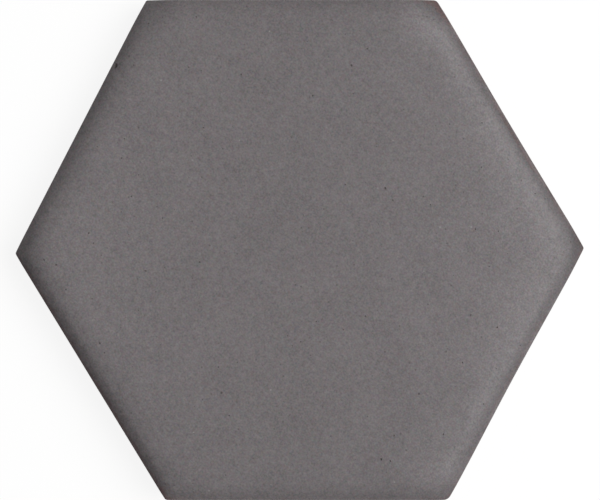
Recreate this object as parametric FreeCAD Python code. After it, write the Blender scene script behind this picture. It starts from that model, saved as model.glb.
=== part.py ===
import FreeCAD, Part

import math
import os

# A hexagonal floor tile of fired clay, lying on its back: X to the right, Y towards the upper side, Z up.
# All sizes are in millimetres.

# The whole tile
ACROSS_FLATS = 150.0
THICKNESS = 14.0

# How far each corner strays from a true hexagon, to the right and up, because the clay was cut by hand, the radius
# that it is cut to, and the broader radius that the roll of the face turns it with. They run anticlockwise from the
# right.
CORNERS = {
    "right": (-1.00, 0.55, 0.8, 18.0),
    "upper_right": (-2.25, 0.0, 1.0, 16.0),
    "upper_left": (-2.75, 0.0, 0.8, 17.0),
    "left": (1.20, -1.05, 0.8, 10.0),
    "lower_left": (3.05, 0.0, 1.0, 7.0),
    "lower_right": (1.20, 0.0, 1.6, 10.0),
}

# The face is a pillow that reaches past the sides, which cut it off. Its roll leaves the foot at a slope and runs out
# level into the face, and a greater weight draws it nearer to the line where that slope meets the level of the face.
ROLL_OVERHANG = 0.5
ROLL_WIDTH = 36.0
ROLL_DROP = 3.68
FOOT_SLOPE_DEG = 38.1
ROLL_WEIGHT = 2.94

# The sides lean in towards the back, so that the tile leaves its mould
SIDE_DRAFT_DEG = 3.0
BACK_EDGE_RADIUS = 0.8

# Straight grooves across the back give the mortar a key, inside a plain rim
GROOVE_WIDTH = 4.0
GROOVE_DEPTH = 1.2
GROOVE_DRAFT_DEG = 30.0
GROOVE_PITCH = 11.6
BACK_RIM = 9.0


def sharp_corners(inset):
    """Gives the outline's corners before rounding, anticlockwise from the right, once every side has moved in."""
    reach = ACROSS_FLATS / 2 / math.cos(math.pi / len(CORNERS))
    corners = []
    for number, (right, up, _, _) in enumerate(CORNERS.values()):
        angle = 2 * math.pi * number / len(CORNERS)
        corners.append(FreeCAD.Vector(reach * math.cos(angle) + right, reach * math.sin(angle) + up, 0))
    moved = []
    for corner, (before, after) in zip(corners, meeting_sides(corners)):
        # The two sides move in along their own normals, and the corner slides to where they cross.
        turn = before.x * after.y - before.y * after.x
        moved.append(corner + (after - before) * (inset / turn))
    return moved


def meeting_sides(corners):
    """Gives, for each corner, the unit directions of the side that ends there and the side that starts there."""
    along = [(end - start).normalize() for start, end in zip(corners, corners[1:] + corners[:1])]
    return list(zip(along[-1:] + along[:-1], along))


def cut_radii():
    """Gives the radius that each corner is cut to."""
    return [cut for _, _, cut, _ in CORNERS.values()]


def roll_radii():
    """Gives the radius that the roll of the face turns each corner with."""
    return [roll for _, _, _, roll in CORNERS.values()]


def rounded_corners(inset, height, radii):
    """Gives three points for each rounded corner: where its arc starts, its sharp corner, and where its arc ends."""
    corners = [corner + FreeCAD.Vector(0, 0, height) for corner in sharp_corners(inset)]
    rounded = []
    for corner, (before, after), radius in zip(corners, meeting_sides(corners), radii):
        tangent = radius * math.tan(before.getAngle(after) / 2)
        rounded.append((corner - before * tangent, corner, corner + after * tangent))
    return rounded


def arc_weight(start, sharp, end):
    """Gives the weight that the sharp corner has in the arc from start to end."""
    return start.distanceToPoint(end) / (2 * start.distanceToPoint(sharp))


def outline(rounded):
    """Makes the closed wire of an outline from the points of its rounded corners."""
    edges = []
    for (start, sharp, end), following in zip(rounded, rounded[1:] + rounded[:1]):
        weight = arc_weight(start, sharp, end)
        middle = (start + sharp * (2 * weight) + end) * (1 / (2 + 2 * weight))
        edges.append(Part.Arc(start, middle, end).toShape())
        edges.append(Part.LineSegment(end, following[0]).toShape())
    return Part.Wire(edges)


def swept_face(rows, along, across):
    """Makes the face on rows of control points, which weigh along as given in a row and across from row to row.

    Two rows make a straight face, and three make a roll: a conic that leaves the first row towards the second and
    reaches the third from there.
    """
    surface = Part.BSplineSurface()
    surface.buildFromPolesMultsKnots(
        rows,
        [len(rows), len(rows)],
        [len(along), len(along)],
        [0, 1],
        [0, 1],
        False,
        False,
        len(rows) - 1,
        len(along) - 1,
        [[row_weight * weight for weight in along] for row_weight in across],
    )
    return surface.toShape()


def swept_band(outlines, across):
    """Makes the band of faces that passes over rounded outlines, one for each corner and one for each side."""
    faces = []
    for corner, following in zip(zip(*outlines), list(zip(*outlines))[1:] + [tuple(row[0] for row in outlines)]):
        faces.append(swept_face(corner, [1, arc_weight(*corner[0]), 1], across))
        side = [(points[2], next_points[0]) for points, next_points in zip(corner, following)]
        faces.append(swept_face(side, [1, 1], across))
    return faces


def foot_slope():
    """Gives the slope of the pillow at the roll's foot and outside it, as a rise over a run."""
    return math.tan(math.radians(FOOT_SLOPE_DEG))


def pillow():
    """Makes the solid that gives the tile its face: level in the middle, then a roll, then a slope straight on.

    The pillow's corners are broader than the tile's, so the sides cut it lower there, and the tile's edge sinks
    towards each corner.
    """
    foot_height = THICKNESS - ROLL_DROP
    reach = max(roll_radii()) / 4
    ground = rounded_corners(-ROLL_OVERHANG - reach, -THICKNESS, roll_radii())
    skirt = rounded_corners(-ROLL_OVERHANG - reach, foot_height - reach * foot_slope(), roll_radii())
    foot = rounded_corners(-ROLL_OVERHANG, foot_height, roll_radii())
    crest = rounded_corners(-ROLL_OVERHANG + ROLL_DROP / foot_slope(), THICKNESS, roll_radii())
    middle = rounded_corners(ROLL_WIDTH, THICKNESS, roll_radii())
    faces = [Part.Face(outline(ground)), Part.Face(outline(middle))]
    faces += swept_band([ground, skirt], [1, 1])
    faces += swept_band([skirt, foot], [1, 1])
    faces += swept_band([foot, crest, middle], [1, ROLL_WEIGHT, 1])
    shell = Part.makeShell(faces)
    shell.sewShape()
    return Part.makeSolid(shell)


def polygon_block(low_inset, high_inset, height):
    """Makes a block with flat sides and sharp corners, from one inset at the back to another at a height."""
    low = sharp_corners(low_inset)
    high = [corner + FreeCAD.Vector(0, 0, height) for corner in sharp_corners(high_inset)]
    rings = [low, high]
    for start, end, over_end, over_start in zip(low, low[1:] + low[:1], high[1:] + high[:1], high):
        rings.append([start, end, over_end, over_start])
    shell = Part.makeShell([Part.Face(Part.makePolygon(ring + ring[:1])) for ring in rings])
    shell.sewShape()
    return Part.makeSolid(shell)


def body():
    """Makes the tile without its grooves: a block under the pillow, with its corners and its back edge rounded.

    The block's sides lean in towards the back. They pass through the tile's widest outline where they meet the
    pillow, and stand clear above the face.
    """
    lean = math.tan(math.radians(SIDE_DRAFT_DEG))
    edge_height = THICKNESS - ROLL_DROP + ROLL_OVERHANG * foot_slope()
    height = THICKNESS + ROLL_DROP
    tile = polygon_block(edge_height * lean, (edge_height - height) * lean, height).common(pillow())
    for corner, radius in zip(sharp_corners(0), cut_radii()):
        upright = [edge for edge in tile.Edges if edge.BoundBox.ZLength > THICKNESS / 3]
        tile = tile.makeFillet(radius, [min(upright, key=lambda edge: edge.distToShape(Part.Vertex(corner))[0])])
    back_edges = [edge for edge in tile.Edges if edge.BoundBox.ZMax < edge_height / 4]
    return tile.makeFillet(BACK_EDGE_RADIUS, back_edges)


def groove_bar(y):
    """Makes a bar of the groove's section on the line at y, which crosses the whole back."""
    half_mouth = GROOVE_WIDTH / 2
    half_floor = half_mouth - GROOVE_DEPTH * math.tan(math.radians(GROOVE_DRAFT_DEG))
    section = [
        FreeCAD.Vector(-ACROSS_FLATS, y - half_mouth, 0),
        FreeCAD.Vector(-ACROSS_FLATS, y + half_mouth, 0),
        FreeCAD.Vector(-ACROSS_FLATS, y + half_floor, GROOVE_DEPTH),
        FreeCAD.Vector(-ACROSS_FLATS, y - half_floor, GROOVE_DEPTH),
    ]
    face = Part.Face(Part.makePolygon(section + section[:1]))
    return face.extrude(FreeCAD.Vector(2 * ACROSS_FLATS, 0, 0))


def grooves():
    """Makes the grooves, as many above and below the middle as the rim leaves room for."""
    room = ACROSS_FLATS / 2 - BACK_RIM - GROOVE_WIDTH / 2
    each_way = int(room / GROOVE_PITCH + 0.5)
    bars = [groove_bar((number + 0.5) * GROOVE_PITCH) for number in range(-each_way, each_way)]
    slope = GROOVE_DEPTH * math.tan(math.radians(GROOVE_DRAFT_DEG))
    field = polygon_block(BACK_RIM, BACK_RIM + slope, GROOVE_DEPTH)
    return field.common(bars)


def hexagon_tile():
    """Makes the tile, with the origin on its back under the middle of its widest outline."""
    tile = body().cut(grooves())
    middle = tile.optimalBoundingBox().Center
    tile.translate(FreeCAD.Vector(-middle.x, -middle.y, 0))
    return tile.Solids[0]


os.makedirs("parts", exist_ok=True)
hexagon_tile().exportStep("parts/hexagon_tile.step")
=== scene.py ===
"""Looks of a hexagonal floor tile: fired clay under a thin matt grey coat, lying on its back."""

import logging
import math
from contextlib import contextmanager
from dataclasses import asdict, dataclass, field
from enum import Enum, IntEnum
from functools import cached_property
from random import Random
from typing import Callable, Iterator

import bmesh
import bpy
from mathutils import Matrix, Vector


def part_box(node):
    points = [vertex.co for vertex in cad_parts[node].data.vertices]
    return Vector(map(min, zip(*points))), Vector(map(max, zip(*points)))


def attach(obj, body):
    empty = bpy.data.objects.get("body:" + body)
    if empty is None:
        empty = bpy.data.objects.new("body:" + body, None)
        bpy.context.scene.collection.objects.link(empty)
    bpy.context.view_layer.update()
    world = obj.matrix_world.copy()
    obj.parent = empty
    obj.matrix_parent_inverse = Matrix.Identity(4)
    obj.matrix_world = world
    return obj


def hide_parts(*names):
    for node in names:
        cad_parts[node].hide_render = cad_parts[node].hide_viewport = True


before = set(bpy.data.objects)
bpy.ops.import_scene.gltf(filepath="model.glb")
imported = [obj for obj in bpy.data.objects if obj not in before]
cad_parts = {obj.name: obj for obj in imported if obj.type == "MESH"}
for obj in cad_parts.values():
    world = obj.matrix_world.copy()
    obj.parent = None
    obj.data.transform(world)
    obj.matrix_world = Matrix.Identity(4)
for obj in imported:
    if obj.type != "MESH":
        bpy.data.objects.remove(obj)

LOG = logging.getLogger("tile_maker")
Colour = tuple[float, float, float]
Piece = bpy.types.Object
Socket = bpy.types.NodeSocket

# Blender works in metres, and the tile's sizes below are in millimetres.
MM = 0.001
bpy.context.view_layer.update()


class Mark(Enum):
    """A number that the tile's mesh carries at each vertex for its finishes to read."""

    EDGE_DISTANCE = "edge_distance"
    # The band along the edge is partly a darker coat and partly painted shade, the line on the edge is painted
    # shade, and the last mark is painted light and shade.
    STAINED_AND_SHADED = "stained"
    PAINTED_EDGE_SHADE = "scorched"
    RUBBED = "rubbed"
    PAINTED_LIGHT = "paler"


class Finish(IntEnum):
    """The tile's material slots, by number."""

    COATED = 0
    BARE = 1
    PIT = 2


class Pick(Enum):
    """What an edit-mode selection is made of, and the mesh select mode that goes with it."""

    CORNERS = (True, False, False)
    LINES = (False, True, False)
    PLANES = (False, False, True)


class Zone(Enum):
    """A part of the tile's skin that has its own unevenness."""

    FACE = "face"
    SIDES = "sides"
    BACK = "back"


def put_down() -> None:
    """Deselects every object."""
    bpy.ops.object.select_all(action="DESELECT")


def take(piece: Piece) -> None:
    """Selects one object alone and makes it the active one."""
    put_down()
    piece.select_set(True)
    bpy.context.view_layer.objects.active = piece


@contextmanager
def on_the_bench(piece: Piece) -> Iterator[None]:
    """Opens one piece in edit mode with nothing in it selected, and closes it afterwards.

    Args:
        piece: The mesh object to work on.

    Returns:
        A context in which edit-mode operators act on the piece.
    """
    take(piece)
    bpy.ops.object.mode_set(mode="EDIT")
    bpy.ops.mesh.select_all(action="DESELECT")
    yield
    bpy.ops.object.mode_set(mode="OBJECT")


def pick(piece: Piece, what: Pick, wanted: Callable[[object], bool]) -> None:
    """Selects the parts of a mesh in edit mode that answer a test, and nothing else.

    Args:
        piece: The mesh object that is in edit mode.
        what: Whether vertices, edges or faces are looked at.
        wanted: The test that each of them gets.
    """
    bpy.context.tool_settings.mesh_select_mode = what.value
    bpy.ops.mesh.select_all(action="DESELECT")
    mesh = bmesh.from_edit_mesh(piece.data)
    parts = {Pick.CORNERS: mesh.verts, Pick.LINES: mesh.edges, Pick.PLANES: mesh.faces}[what]
    for part in [part for part in parts if wanted(part)]:
        part.select_set(True)
    bmesh.update_edit_mesh(piece.data)


def smooth_step(low: float, high: float, value: float) -> float:
    """Gives a weight that rises gently from 0 at one value to 1 at another."""
    share = min(max((value - low) / (high - low), 0.0), 1.0)
    return share * share * (3 - 2 * share)


@dataclass(frozen=True)
class Corner:
    """One corner of the tile. Sizes are in millimetres.

    drift is how far it strays from a true hexagon, to the right and up. radius is its rounding in plan, and
    roll_radius the broader one that the roll of the face turns it with. rubbed says how far the coat is worn
    off it. The next number says how much painted shade darkens the coat on it, and pale how much a painted
    highlight lightens the coat some way in from it.
    """

    drift: tuple[float, float]
    radius: float
    roll_radius: float
    rubbed: float
    smoked: float
    pale: float = 0.0


@dataclass(frozen=True)
class Side:
    """One side of the tile, anticlockwise from the corner of the same number. Sizes are in millimetres.

    The first number says how dark a band along its edge is, partly darkened in the kiln and partly painted
    shade; the second how much painted shade darkens the edge itself, most on the side turned away from the
    lamp; the third by what share painted shade darkens the coat beside the band, and painted light lightens it
    where less than nothing. rubbed says how far it is worn off to the brown clay. hollow is how far the side
    draws in at its lowest place, which lies a share of the way along it, and reach is how far from there the
    side is drawn in.
    """

    stained: float
    scorched: float
    smoked: float
    rubbed: float
    hollow: float = 0.0
    hollow_at: float = 0.5
    reach: float = 30.0


@dataclass
class Outline:
    """The tile's hexagon in plan, as a hand cut it. Corners and sides run anticlockwise from the right."""

    across_flats: float = 150.0
    corners: tuple[Corner, ...] = (
        # Each corner's next to last number is painted shade on it, and pale a painted highlight some way in
        # from it.
        Corner(drift=(-1.20, 0.58), radius=0.8, roll_radius=18.0, rubbed=0.6, smoked=0.20),
        Corner(drift=(-2.22, 0.0), radius=1.5, roll_radius=16.0, rubbed=1.5, smoked=0.08, pale=0.19),
        Corner(drift=(-2.77, 0.0), radius=0.8, roll_radius=17.0, rubbed=0.0, smoked=0.13),
        Corner(drift=(1.27, -1.05), radius=0.8, roll_radius=10.0, rubbed=0.0, smoked=0.21),
        Corner(drift=(3.08, 0.0), radius=1.0, roll_radius=7.0, rubbed=0.7, smoked=0.05),
        Corner(drift=(1.19, 0.0), radius=2.2, roll_radius=10.0, rubbed=0.3, smoked=0.02, pale=0.10),
    )
    sides: tuple[Side, ...] = (
        # Each side's first number is a darker edge band, partly kiln-darkened and partly painted shade; its
        # second is painted shade on the edge, strongest on the lower-left side; its third is painted shade
        # beside the band, painted light where less than nothing.
        Side(stained=1.0, scorched=0.06, smoked=0.10, rubbed=0.6, hollow=0.28, reach=46.0),
        Side(stained=0.42, scorched=0.12, smoked=-0.02, rubbed=0.0),
        Side(stained=0.80, scorched=0.16, smoked=-0.05, rubbed=0.05),
        Side(stained=1.75, scorched=0.50, smoked=-0.04, rubbed=0.60),
        Side(stained=0.40, scorched=0.0, smoked=-0.01, rubbed=0.24),
        Side(stained=0.55, scorched=0.0, smoked=0.04, rubbed=0.26, hollow=0.28, reach=35.0),
    )
    steps: int = 112
    arc_steps: int = 16

    @property
    def turn(self) -> float:
        """The angle that a true hexagon turns by at each corner."""
        return 2 * math.pi / len(self.corners)

    @property
    def reach(self) -> float:
        """How far a true hexagon's corners lie from its middle."""
        return self.across_flats / 2 / math.cos(math.pi / len(self.corners))

    def true_corner(self, number: int) -> Vector:
        """Gives a corner of the true hexagon."""
        angle = 2 * math.pi * number / len(self.corners)
        return Vector((self.reach * math.cos(angle), self.reach * math.sin(angle), 0))

    def sharp_corners(self, inset: float) -> list[Vector]:
        """Finds the corners before rounding, once every side has moved in along its own normal.

        Args:
            inset: How far each side moves in.

        Returns:
            The corners, anticlockwise from the right.
        """
        strayed = []
        for number, corner in enumerate(self.corners):
            strayed.append(self.true_corner(number) + Vector((*corner.drift, 0)))
        along = [(end - start).normalized() for start, end in zip(strayed, strayed[1:] + strayed[:1])]
        moved = []
        for corner, before, after in zip(strayed, along[-1:] + along[:-1], along):
            turn = before.x * after.y - before.y * after.x
            moved.append(corner + (after - before) * (inset / turn))
        return moved

    @cached_property
    def side_lines(self) -> list[tuple[Vector, Vector]]:
        """Each side's start and end at the tile's edge."""
        corners = self.sharp_corners(0)
        return list(zip(corners, corners[1:] + corners[:1]))

    @cached_property
    def side_ways(self) -> list[tuple[Vector, Vector, float]]:
        """Each side's start, its direction and how far along it the side draws in most."""
        return [
            (start, (end - start).normalized(), (end - start).length * side.hollow_at)
            for (start, end), side in zip(self.side_lines, self.sides)
        ]

    @cached_property
    def turns(self) -> list[float]:
        """The cosine of the angle that the outline turns by at each corner."""
        ways = [along for _, along, _ in self.side_ways]
        return [before.dot(after) for before, after in zip(ways[-1:] + ways[:-1], ways)]

    def straight_depths(self, place: Vector) -> list[float]:
        """Measures how far a place lies in from the straight line of each side."""
        return [
            along.x * (place.y - start.y) - along.y * (place.x - start.x)
            for start, along, _ in self.side_ways
        ]

    def depths(self, place: Vector) -> list[float]:
        """Measures how far a place lies in from each side, less what the side is drawn in there.

        Args:
            place: A place on the tile, in millimetres.

        Returns:
            The distances, in the order of the sides.
        """
        found = self.straight_depths(place)
        for number, ((start, along, lowest), side) in enumerate(zip(self.side_ways, self.sides)):
            if side.hollow:
                gone = along.x * (place.x - start.x) + along.y * (place.y - start.y)
                away = math.hypot(gone - lowest, found[number])
                found[number] -= side.hollow * smooth_step(side.reach, 0.0, away)
        return found

    def roll_depth(self, place: Vector) -> float:
        """Measures how far in from the sides the contour of the roll lies that passes through a place.

        Args:
            place: A place on the tile, in millimetres.

        Returns:
            The distance, which is less than nothing out in the corners.
        """
        depths = self.straight_depths(place)
        found = min(depths)
        for number, (corner, turn) in enumerate(zip(self.corners, self.turns)):
            before, after = depths[number - 1], depths[number]
            if abs(before - after) < corner.roll_radius * (1 - turn):
                apart = before * before + after * after - 2 * turn * before * after
                room = 2 * (corner.roll_radius**2 * (1 - turn * turn) - apart) / (1 - turn)
                middle = (before + after + math.sqrt((before + after) ** 2 + room)) / 2
                found = min(found, middle - corner.roll_radius)
        return found

    def edge_distance(self, place: Vector) -> float:
        """Measures how far a place lies in from the tile's edge, whose corners are rounded.

        Args:
            place: A place on the tile, in millimetres.

        Returns:
            The distance in plan.
        """
        depths = self.depths(place)
        turn = math.cos(self.turn)
        for number, corner in enumerate(self.corners):
            short = (corner.radius - depths[number - 1], corner.radius - depths[number])
            if min(short) > 0:
                # How far the place lies from the middle of the corner's arc, by how far it passes both sides.
                reach = math.sqrt(short[0] ** 2 + short[1] ** 2 - 2 * turn * short[0] * short[1])
                if min(short[0] - turn * short[1], short[1] - turn * short[0]) > 0:
                    return corner.radius - reach / math.sin(self.turn)
        return min(depths)

    def lay_ring(self, inset: float, height: float, radii: list[float]) -> Piece:
        """Lays one closed loop of the outline, with the same number of points whatever its size.

        Args:
            inset: How far its sides have moved in.
            height: How high it lies.
            radii: The rounding of each corner.

        Returns:
            The loop with its face.
        """
        ring = self.lay_hexagon(inset, height, "NGON")
        with on_the_bench(ring):
            for radius, place in zip(radii, self.sharp_corners(inset)):
                self.pick_corner(ring, place, height)
                bpy.ops.mesh.bevel(
                    affect="VERTICES",
                    offset_type="OFFSET",
                    offset=radius * math.tan(self.turn / 2) * MM,
                    segments=self.arc_steps,
                    profile=0.5,
                )
            straight = self.across_flats / 5 * MM
            pick(ring, Pick.LINES, lambda edge: edge.calc_length() > straight)
            bpy.ops.mesh.subdivide(number_cuts=self.steps - self.arc_steps - 1)
        return ring

    def lay_hexagon(self, inset: float, height: float, fill: str) -> Piece:
        """Lays a hexagon with sharp corners.

        Args:
            inset: How far its sides have moved in.
            height: How high it lies.
            fill: NGON for one face, or TRIFAN for six triangles that meet in the middle.

        Returns:
            The hexagon.
        """
        put_down()
        bpy.ops.mesh.primitive_circle_add(
            vertices=len(self.corners),
            radius=self.reach * MM,
            fill_type=fill,
            location=(0, 0, height * MM),
            rotation=(0, 0, self.turn / 2),
        )
        hexagon = bpy.context.object
        bpy.ops.object.transform_apply(location=True, rotation=True, scale=True)
        with on_the_bench(hexagon):
            for number, place in enumerate(self.sharp_corners(inset)):
                start = self.true_corner(number)
                self.pick_corner(hexagon, start, height)
                bpy.ops.transform.translate(value=(place - start) * MM)
        return hexagon

    @staticmethod
    def pick_corner(piece: Piece, place: Vector, height: float) -> None:
        """Selects the vertex that lies nearest to a place at a height."""
        spot = Vector((place.x, place.y, height)) * MM
        mesh = bmesh.from_edit_mesh(piece.data)
        nearest = min(mesh.verts, key=lambda vertex: (vertex.co - spot).length_squared).index
        pick(piece, Pick.CORNERS, lambda vertex: vertex.index == nearest)

    def draw_in(self, tile: Piece) -> None:
        """Draws the hollow sides in a little at their lowest places."""
        near = self.across_flats / self.steps
        for (start, end), side in zip(self.side_lines, self.sides):
            if not side.hollow:
                continue
            along = (end - start).normalized()
            inward = Vector((-along.y, along.x, 0))
            lowest = start.lerp(end, side.hollow_at)

            def at_lowest(vertex: bmesh.types.BMVert) -> bool:
                """Tells whether a vertex stands in the side's column over its lowest place."""
                offset = Vector((vertex.co.x, vertex.co.y, 0)) / MM - lowest
                return abs(offset.dot(along)) < near and abs(offset.dot(inward)) < near

            with on_the_bench(tile):
                pick(tile, Pick.CORNERS, at_lowest)
                bpy.ops.transform.translate(
                    value=inward * side.hollow * MM,
                    use_proportional_edit=True,
                    proportional_edit_falloff="SMOOTH",
                    proportional_size=side.reach * MM,
                )


@dataclass
class WearAndPaintedLight:
    """How the kiln and use have marked the coat, and where light and shade are painted on it. A pair says
    where a mark starts and where it is full.
    """

    outline: Outline
    softness: float = 0.6
    rubbed_patch: float = 5.0
    # Painted light at the tips and where it fades in, then where painted shade and painted highlights lie.
    paler_tips: float = 0.19
    tips_from: tuple[float, float] = (2.5, 10.5)
    side_smoke: tuple[float, float] = (6.5, 2.5)
    corner_smoke: tuple[float, float] = (13.0, 4.0)
    pale_ring: float = 8.5
    pale_width: float = 5.0

    def from_corners(self, place: Vector) -> list[tuple[Corner, float]]:
        """Lists the corners with their distances from a place."""
        starts = [start for start, _ in self.outline.side_lines]
        return [
            (corner, math.hypot(place.x - start.x, place.y - start.y))
            for corner, start in zip(self.outline.corners, starts)
        ]

    def of_edge(self, place: Vector) -> tuple[float, float, float]:
        """Works out the marks of the edge that a place belongs to: its darker band, the painted shade on it
        and how far it is rubbed.

        Args:
            place: A place on the tile, in millimetres.

        Returns:
            How dark the band along the edge is, partly darkened in the kiln and partly painted shade, how much
            painted shade darkens the edge itself, and how far it is worn off.
        """
        shares = [1 / (max(depth, 0.0) + self.softness) ** 2 for depth in self.outline.depths(place)]
        marks = zip(*((side.stained, side.scorched, side.rubbed) for side in self.outline.sides))
        stained, scorched, rubbed = (
            sum(share * mark for share, mark in zip(shares, kind)) / sum(shares) for kind in marks
        )
        for corner, away in self.from_corners(place):
            rubbed += corner.rubbed * math.exp(-((away / self.rubbed_patch) ** 2))
        return stained, scorched, rubbed

    def paler(self, place: Vector) -> float:
        """Works out how much lighter a place is painted than the middle of the face: painted light towards the
        tips and some way in from the upper-right and lower-right corners, painted shade on the corners and
        beside the edge.

        Args:
            place: A place on the tile, in millimetres.

        Returns:
            The share that the coat is painted lighter by, which is less than nothing where painted shade
            darkens it.
        """
        depths = self.outline.depths(place)
        to_tip = place.x / (self.outline.across_flats / 2)
        # Painted light: lighter towards the left and right tips.
        paler = self.paler_tips * smooth_step(*self.tips_from, min(depths)) * to_tip**2
        # Painted shade beside each side's edge band, and painted light where its number is less than nothing.
        for side, depth in zip(self.outline.sides, depths):
            paler -= side.smoked * smooth_step(*self.side_smoke, depth)
        # A painted highlight some way in from each corner, and painted shade on the corner itself.
        for corner, away in self.from_corners(place):
            paler += corner.pale * math.exp(-(((away - self.pale_ring) / self.pale_width) ** 2))
            paler -= corner.smoked * smooth_step(*self.corner_smoke, away)
        return paler


@dataclass
class Shoulder:
    """The roll from the edge over to the level face: a conic that leaves the edge at a slope and ends level.

    Rings are laid in its outer part, and inside them the face is a net.
    """

    width: float = 36.0
    drop: float = 3.3
    edge_slope: float = 36.8
    weight: float = 2.8
    face_height: float = 14.0
    face_radius: float = 12.0
    ringed: float = 18.0
    rings: int = 32
    crowding: float = 1.35

    @property
    def foot_height(self) -> float:
        """How high the tile's edge lies."""
        return self.face_height - self.drop

    def height_at(self, inset: float) -> float:
        """Gives the height of the face on one of the roll's contours.

        Args:
            inset: How far in from the sides the contour lies. Outside them the face slopes straight on.

        Returns:
            The height over the back.
        """
        if inset >= self.width:
            return self.face_height
        slope = math.tan(math.radians(self.edge_slope))
        if inset <= 0:
            return self.foot_height + inset * slope
        bend = self.weight * self.drop / slope
        squared = inset * 2 * (1 - self.weight) + 2 * bend - self.width
        single = inset * 2 * (self.weight - 1) - 2 * bend
        share = 2 * inset / (math.sqrt(single * single - 4 * squared * inset) - single)
        whole = (1 - share) ** 2 + 2 * self.weight * share * (1 - share) + share * share
        return self.face_height - self.drop * (1 - share) ** 2 / whole

    def insets(self) -> list[float]:
        """Gives the rings' distances in from the edge, closest together at the edge."""
        return [self.ringed * (number / self.rings) ** self.crowding for number in range(1, self.rings + 1)]


@dataclass
class Flank:
    """The sides, which lean in towards the back. The edges of the back and of the face are rounded."""

    draft: float = 3.0
    back_radius: float = 0.8
    back_steps: int = 4
    steps: int = 10
    eased: float = 0.3
    eased_steps: int = 3

    def rows(self, shoulder: Shoulder) -> list[tuple[float, float]]:
        """Works out the insets and heights of the loops from the back's rim up to the shoulder's first ring.

        Args:
            shoulder: The roll that the sides carry.

        Returns:
            The inset and the height of each loop, lowest first.
        """
        top = shoulder.foot_height
        lean = math.tan(math.radians(self.draft))
        rows = []
        for number in range(self.back_steps):
            turn = math.pi / 2 * number / self.back_steps
            height = self.back_radius * (1 - math.cos(turn))
            rows.append(((top - height) * lean + self.back_radius * (1 - math.sin(turn)), height))
        tall = top - self.eased - self.back_radius
        for number in range(self.steps + 1):
            height = self.back_radius + tall * number / self.steps
            rows.append(((top - height) * lean, height))
        below = (self.eased * lean, top - self.eased)
        above = (self.eased, shoulder.height_at(self.eased))
        for number in range(1, self.eased_steps + 1):
            share = number / self.eased_steps
            start, end = (1 - share) ** 2, share * share
            edge = 1 - start - end
            rows.append((below[0] * start + above[0] * end, below[1] * start + top * edge + above[1] * end))
        return rows


@dataclass
class Grooves:
    """The straight grooves across the back that key into the mortar, inside a plain rim.

    land_cut is how wide the strips are that the lands are divided into, and level_within how far a face may
    lie from the plane of the back.
    """

    width: float = 4.0
    depth: float = 1.2
    draft: float = 30.0
    pitch: float = 11.6
    each_way: int = 6
    rim: float = 9.0
    eased: float = 0.3
    lip_angle: float = 20.0
    land_cut: float = 5.0
    level_within: float = 0.01

    def lines(self) -> list[float]:
        """Gives the distance of each groove's middle line from the tile's long diagonal."""
        return [(number + 0.5) * self.pitch for number in range(-self.each_way, self.each_way)]

    def on_back(self, face: bmesh.types.BMFace) -> bool:
        """Tells whether a face lies on the plane of the back."""
        return all(abs(corner.co.z) < self.level_within * MM for corner in face.verts)

    def cut(self, tile: Piece, outline: Outline) -> None:
        """Cuts the grooves into the flat back.

        Args:
            tile: The back, which is one flat face.
            outline: The tile's outline, which the groove ends follow.
        """
        half = self.width / 2
        field_corners = outline.sharp_corners(self.rim)
        sides = list(zip(field_corners, field_corners[1:] + field_corners[:1]))

        def in_groove(face: bmesh.types.BMFace) -> bool:
            """Tells whether a face of the back is where a groove goes."""
            middle = face.calc_center_median() / MM
            inside = all((end - start).cross(middle - start).z > 0 for start, end in sides)
            return inside and self.on_back(face) and any(abs(middle.y - line) < half for line in self.lines())

        with on_the_bench(tile):
            bpy.ops.mesh.select_all(action="SELECT")
            bpy.ops.mesh.flip_normals()
            for line in self.lines():
                for edge in (line - half, line + half):
                    pick(tile, Pick.PLANES, self.on_back)
                    bpy.ops.mesh.bisect(plane_co=(0, edge * MM, 0), plane_no=(0, 1, 0))
            for start, end in sides:
                along = (end - start).normalized()
                slanted = abs(along.y) > 0.5
                if slanted:
                    pick(tile, Pick.PLANES, self.on_back)
                    bpy.ops.mesh.bisect(plane_co=start * MM, plane_no=(along.y, -along.x, 0))
            pick(tile, Pick.PLANES, in_groove)
            bpy.ops.mesh.inset(
                thickness=self.depth * math.tan(math.radians(self.draft)) * MM,
                depth=-self.depth * MM,
                use_individual=False,
            )

    def ease(self, tile: Piece, outline: Outline) -> None:
        """Rounds the grooves' lips and feet a little, and divides the lands so that they can be uneven.

        Args:
            tile: The back with its grooves cut.
            outline: The tile's outline.
        """

        def on_lip(edge: bmesh.types.BMEdge) -> bool:
            """Tells whether an edge runs along the lip or the foot of a groove."""
            return not edge.is_boundary and edge.calc_face_angle(0) > math.radians(self.lip_angle)

        with on_the_bench(tile):
            pick(tile, Pick.LINES, on_lip)
            bpy.ops.mesh.bevel(offset=self.eased * MM, segments=2, profile=0.5, affect="EDGES")
            cuts = int(outline.reach / self.land_cut)
            for number in range(-cuts, cuts + 1):
                bpy.ops.mesh.select_all(action="SELECT")
                bpy.ops.mesh.bisect(plane_co=(number * self.land_cut * MM, 0, 0), plane_no=(1, 0, 0))


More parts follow.
